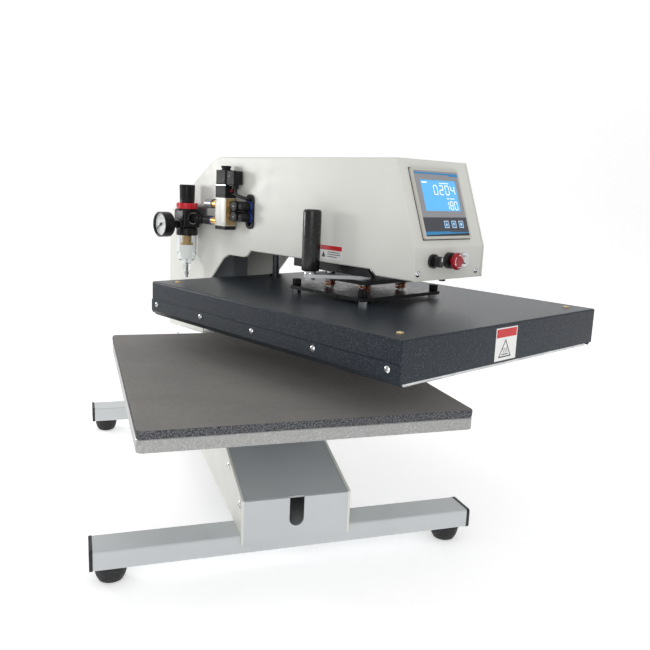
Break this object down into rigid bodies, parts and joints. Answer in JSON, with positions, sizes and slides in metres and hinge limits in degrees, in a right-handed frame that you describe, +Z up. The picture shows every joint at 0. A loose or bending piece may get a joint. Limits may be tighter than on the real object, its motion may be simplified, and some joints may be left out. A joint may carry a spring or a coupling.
{
  "type": "swing-away heat press",
  "caption": "Pneumatic swing-away heat press: padded lower platen on a tube stand, covered heat platen on an air cylinder in an arm that swings about a rear column.",
  "frame": {"origin": "on the floor plane of the rubber feet, directly below the centre of the lower platen", "axes": "+X to the operator's right, -Y towards the operator, +Z up out of the padded lower platen"},
  "size_m": [0.7173, 0.7645, 0.514],
  "materials": {
    "stand_paint": "light bluish-grey hammered powder coat",
    "arm_paint": "light warm grey textured powder coat",
    "dark_cover": "dark slate hammertone",
    "spine_grey": "satin steel grey",
    "black_paint": "gloss black",
    "black_plastic": "satin moulded",
    "black_rubber": "moulded rubber",
    "platen_aluminium": "machined",
    "silicone_foam": "silicone sponge",
    "chrome_steel": "bright plated",
    "steel": "turned or zinc plated",
    "bronze": "oil-impregnated bronze",
    "copper_wire": "copper coloured spring wire",
    "brass_parts": "turned brass",
    "red_plastic": "moulded",
    "blue_plastic": "moulded",
    "lcd_glass": "liquid crystal window",
    "clear_plastic": "clear polycarbonate",
    "insulation": "ceramic fibre",
    "bezel_grey": "satin moulded"
  },
  "bodies": {
    "stand": {"front_tube": "stand_paint", "rear_tube": "stand_paint", "tube_end_caps": "black_plastic", "levelling_feet": "black_rubber", "spine_side_plates": "arm_paint", "spine_tray": "arm_paint", "spine_cover": "spine_grey", "platen_support": "spine_grey", "stand_screws": "chrome_steel", "lower_platen": "platen_aluminium", "platen_pad": "silicone_foam", "pivot_column": "chrome_steel"},
    "arm": {"arm_left_plate": "arm_paint", "arm_right_plate": "arm_paint", "arm_top_skin": "arm_paint", "control_panel": "arm_paint", "arm_beam": "black_paint", "bronze_bushes": "bronze", "cylinder_base": "black_paint", "air_cylinder": "platen_aluminium", "display_bezel": "bezel_grey", "display_screen": "lcd_glass", "switch_bodies": "black_plastic", "panel_screws": "chrome_steel", "hose_grommet": "black_rubber", "regulator_bracket": "steel", "regulator_body": "black_plastic", "regulator_ring": "red_plastic", "regulator_bowl": "clear_plastic", "gauge_case": "black_plastic", "gauge_lens": "clear_plastic", "push_fittings": "black_plastic", "valve_body": "platen_aluminium", "valve_coil": "black_plastic", "brass_fittings": "brass_parts", "valve_leads": "black_rubber"},
    "press_head": {"piston_rod": "chrome_steel", "upper_plate": "black_paint", "handle_bar": "steel", "handle_grip": "black_plastic"},
    "heat_platen": {"float_springs": "copper_wire", "carriage_studs": "chrome_steel", "mounting_plate": "black_paint", "corner_bolts": "black_paint", "platen_cover": "dark_cover", "side_strips": "dark_cover", "cover_screws": "chrome_steel", "heat_plate": "platen_aluminium", "heater_blanket": "insulation", "guide_rod": "chrome_steel"},
    "selector": {"selector_knob": "black_plastic"},
    "emergency_stop": {"estop_button": "red_plastic"},
    "start": {"start_button": "steel"},
    "pressure_knob": {"regulator_knob": "black_plastic"},
    "pointer": {"gauge_pointer": "black_plastic"},
    "drain": {"drain_valve": "black_plastic"},
    "override": {"override_button": "red_plastic"},
    "key_1": {"display_key_1": "blue_plastic"},
    "key_2": {"display_key_2": "blue_plastic"},
    "key_3": {"display_key_3": "blue_plastic"}
  },
  "joints": [
    {"name": "head_swing", "type": "hinge", "parent": "stand", "child": "arm", "pos_m": [0, 0.4, 0.3], "axis": [0, 0, 1], "range_deg": [-24.2, 65.8]},
    {"name": "press_stroke", "type": "slide", "parent": "arm", "child": "press_head", "axis": [0, 0, -1], "range_m": [0, 0.043]},
    {"name": "platen_float", "type": "slide", "parent": "press_head", "child": "heat_platen", "axis": [0, 0, 1], "range_m": [0, 0.003], "stiffness_N_per_m": 60000, "springref_m": -0.002, "deforming": ["float_springs"]},
    {"name": "pressure_knob_turn", "type": "hinge", "parent": "arm", "child": "pressure_knob", "pos_m": [-0.06807, 0.3124, 0.45], "axis": [0, 0, 1], "range_deg": [-720, 720]},
    {"name": "gauge_needle", "type": "hinge", "parent": "arm", "child": "pointer", "pos_m": [-0.11641, 0.29067, 0.397], "axis": [0.9121, 0.4099, 0], "range_deg": [-10, 260]},
    {"name": "drain_push", "type": "slide", "parent": "arm", "child": "drain", "axis": [0, 0, 1], "range_m": [0, 0.003], "stiffness_N_per_m": 600, "springref_m": -0.001},
    {"name": "override_push", "type": "slide", "parent": "arm", "child": "override", "axis": [-0.4099, 0.9121, 0], "range_m": [0, 0.001], "stiffness_N_per_m": 600, "springref_m": -0.0005},
    {"name": "estop_push", "type": "slide", "parent": "arm", "child": "emergency_stop", "axis": [-0.4099, 0.9121, 0], "range_m": [0, 0.0035]},
    {"name": "selector_turn", "type": "hinge", "parent": "arm", "child": "selector", "pos_m": [0.19367, -0.12363, 0.381], "axis": [-0.4099, 0.9121, 0], "range_deg": [0, 60]},
    {"name": "start_push", "type": "slide", "parent": "arm", "child": "start", "axis": [-0.4099, 0.9121, 0], "range_m": [0, 0.0025], "stiffness_N_per_m": 500, "springref_m": -0.001},
    {"name": "key_1_push", "type": "slide", "parent": "arm", "child": "key_1", "axis": [-0.385, 0.8568, -0.3431], "range_m": [0, 0.0005], "stiffness_N_per_m": 1200, "springref_m": -0.0002},
    {"name": "key_2_push", "type": "slide", "parent": "arm", "child": "key_2", "axis": [-0.385, 0.8568, -0.3431], "range_m": [0, 0.0005], "stiffness_N_per_m": 1200, "springref_m": -0.0002},
    {"name": "key_3_push", "type": "slide", "parent": "arm", "child": "key_3", "axis": [-0.385, 0.8568, -0.3431], "range_m": [0, 0.0005], "stiffness_N_per_m": 1200, "springref_m": -0.0002}
  ]
}
